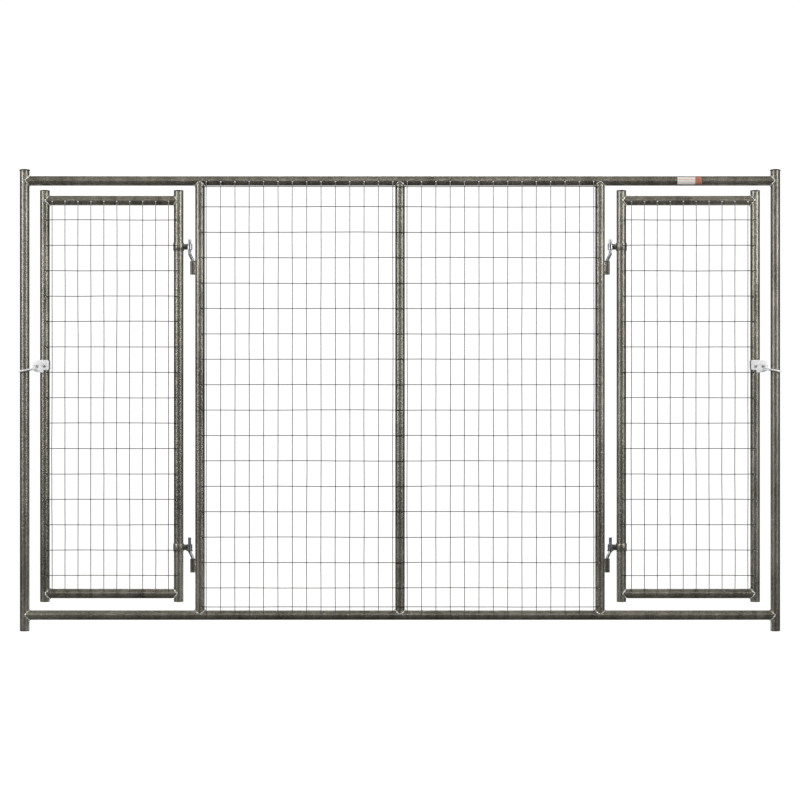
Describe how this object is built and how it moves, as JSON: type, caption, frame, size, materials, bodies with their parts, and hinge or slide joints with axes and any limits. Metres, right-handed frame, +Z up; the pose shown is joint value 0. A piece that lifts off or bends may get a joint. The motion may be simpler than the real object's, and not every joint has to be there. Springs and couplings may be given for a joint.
{
  "type": "livestock panel gate",
  "caption": "Tube livestock panel with a fixed welded-mesh middle section and a mesh walk-through gate in each end bay, on lift-off pin hinges, shut by gravity fork latches.",
  "frame": {"origin": "on the ground under the middle of the panel, in the plane of the tubes' centre lines", "axes": "+X to the right seen from the mesh side, +Y away from the mesh side, +Z up"},
  "size_m": [3.0552, 0.0714, 1.852],
  "materials": {
    "frame_paint": "taupe hammertone enamel, semi-gloss",
    "mesh_wire": "galvanised wire, dull",
    "hinge_zinc": "zinc plate, satin",
    "bright_zinc": "bright zinc plate",
    "dark_fasteners": "dark plated steel, dull",
    "black_plastic": "moulded polyethylene, matt",
    "label_film": "blank white sticker with an orange band"
  },
  "bodies": {
    "frame": {"left_post": "frame_paint", "right_post": "frame_paint", "top_rail": "frame_paint", "bottom_rail": "frame_paint", "left_mullion": "frame_paint", "centre_mullion": "frame_paint", "right_mullion": "frame_paint", "left_post_cap": "black_plastic", "right_post_cap": "black_plastic", "left_foot_plug": "black_plastic", "right_foot_plug": "black_plastic", "centre_uprights_mesh": "mesh_wire", "centre_crosswires_mesh": "mesh_wire", "left_lower_hinge_pin": "hinge_zinc", "left_upper_hinge_pin": "hinge_zinc", "right_lower_hinge_pin": "hinge_zinc", "right_upper_hinge_pin": "hinge_zinc", "left_hinge_sleeves": "frame_paint", "right_hinge_sleeves": "frame_paint", "left_thrust_washer": "hinge_zinc", "right_thrust_washer": "hinge_zinc", "label": "label_film"},
    "left_gate": {"left_latch_stile": "frame_paint", "left_hinge_stile": "frame_paint", "left_gate_top_rail": "frame_paint", "left_gate_bottom_rail": "frame_paint", "left_stile_caps": "black_plastic", "left_gate_uprights_mesh": "mesh_wire", "left_gate_crosswires_mesh": "mesh_wire", "left_hinge_bands": "frame_paint", "left_hinge_eyes": "hinge_zinc", "left_hinge_bolts": "dark_fasteners", "left_hinge_nuts": "dark_fasteners", "left_latch_front_plate": "bright_zinc", "left_latch_rear_plate": "bright_zinc", "left_latch_bolts": "dark_fasteners", "left_latch_nuts": "dark_fasteners", "left_latch_spacer": "hinge_zinc"},
    "right_gate": {"right_latch_stile": "frame_paint", "right_hinge_stile": "frame_paint", "right_gate_top_rail": "frame_paint", "right_gate_bottom_rail": "frame_paint", "right_stile_caps": "black_plastic", "right_gate_uprights_mesh": "mesh_wire", "right_gate_crosswires_mesh": "mesh_wire", "right_hinge_bands": "frame_paint", "right_hinge_eyes": "hinge_zinc", "right_hinge_bolts": "dark_fasteners", "right_hinge_nuts": "dark_fasteners", "right_latch_front_plate": "bright_zinc", "right_latch_rear_plate": "bright_zinc", "right_latch_bolts": "dark_fasteners", "right_latch_nuts": "dark_fasteners", "right_latch_spacer": "hinge_zinc"},
    "left_latch": {"left_latch_fork": "bright_zinc"},
    "right_latch": {"right_latch_fork": "bright_zinc"}
  },
  "joints": [
    {"name": "left_gate_swing", "type": "hinge", "parent": "frame", "child": "left_gate", "pos_m": [-0.8437, 0, 0.3353], "axis": [0, 0, 1], "range_deg": [-105, 105]},
    {"name": "right_gate_swing", "type": "hinge", "parent": "frame", "child": "right_gate", "pos_m": [0.8437, 0, 0.3353], "axis": [0, 0, -1], "range_deg": [-105, 105]},
    {"name": "left_fork_lift", "type": "hinge", "parent": "left_gate", "child": "left_latch", "pos_m": [-1.462, 0, 1.05215], "axis": [0, 1, 0], "range_deg": [0, 105]},
    {"name": "right_fork_lift", "type": "hinge", "parent": "right_gate", "child": "right_latch", "pos_m": [1.462, 0, 1.05215], "axis": [0, -1, 0], "range_deg": [0, 105]}
  ]
}
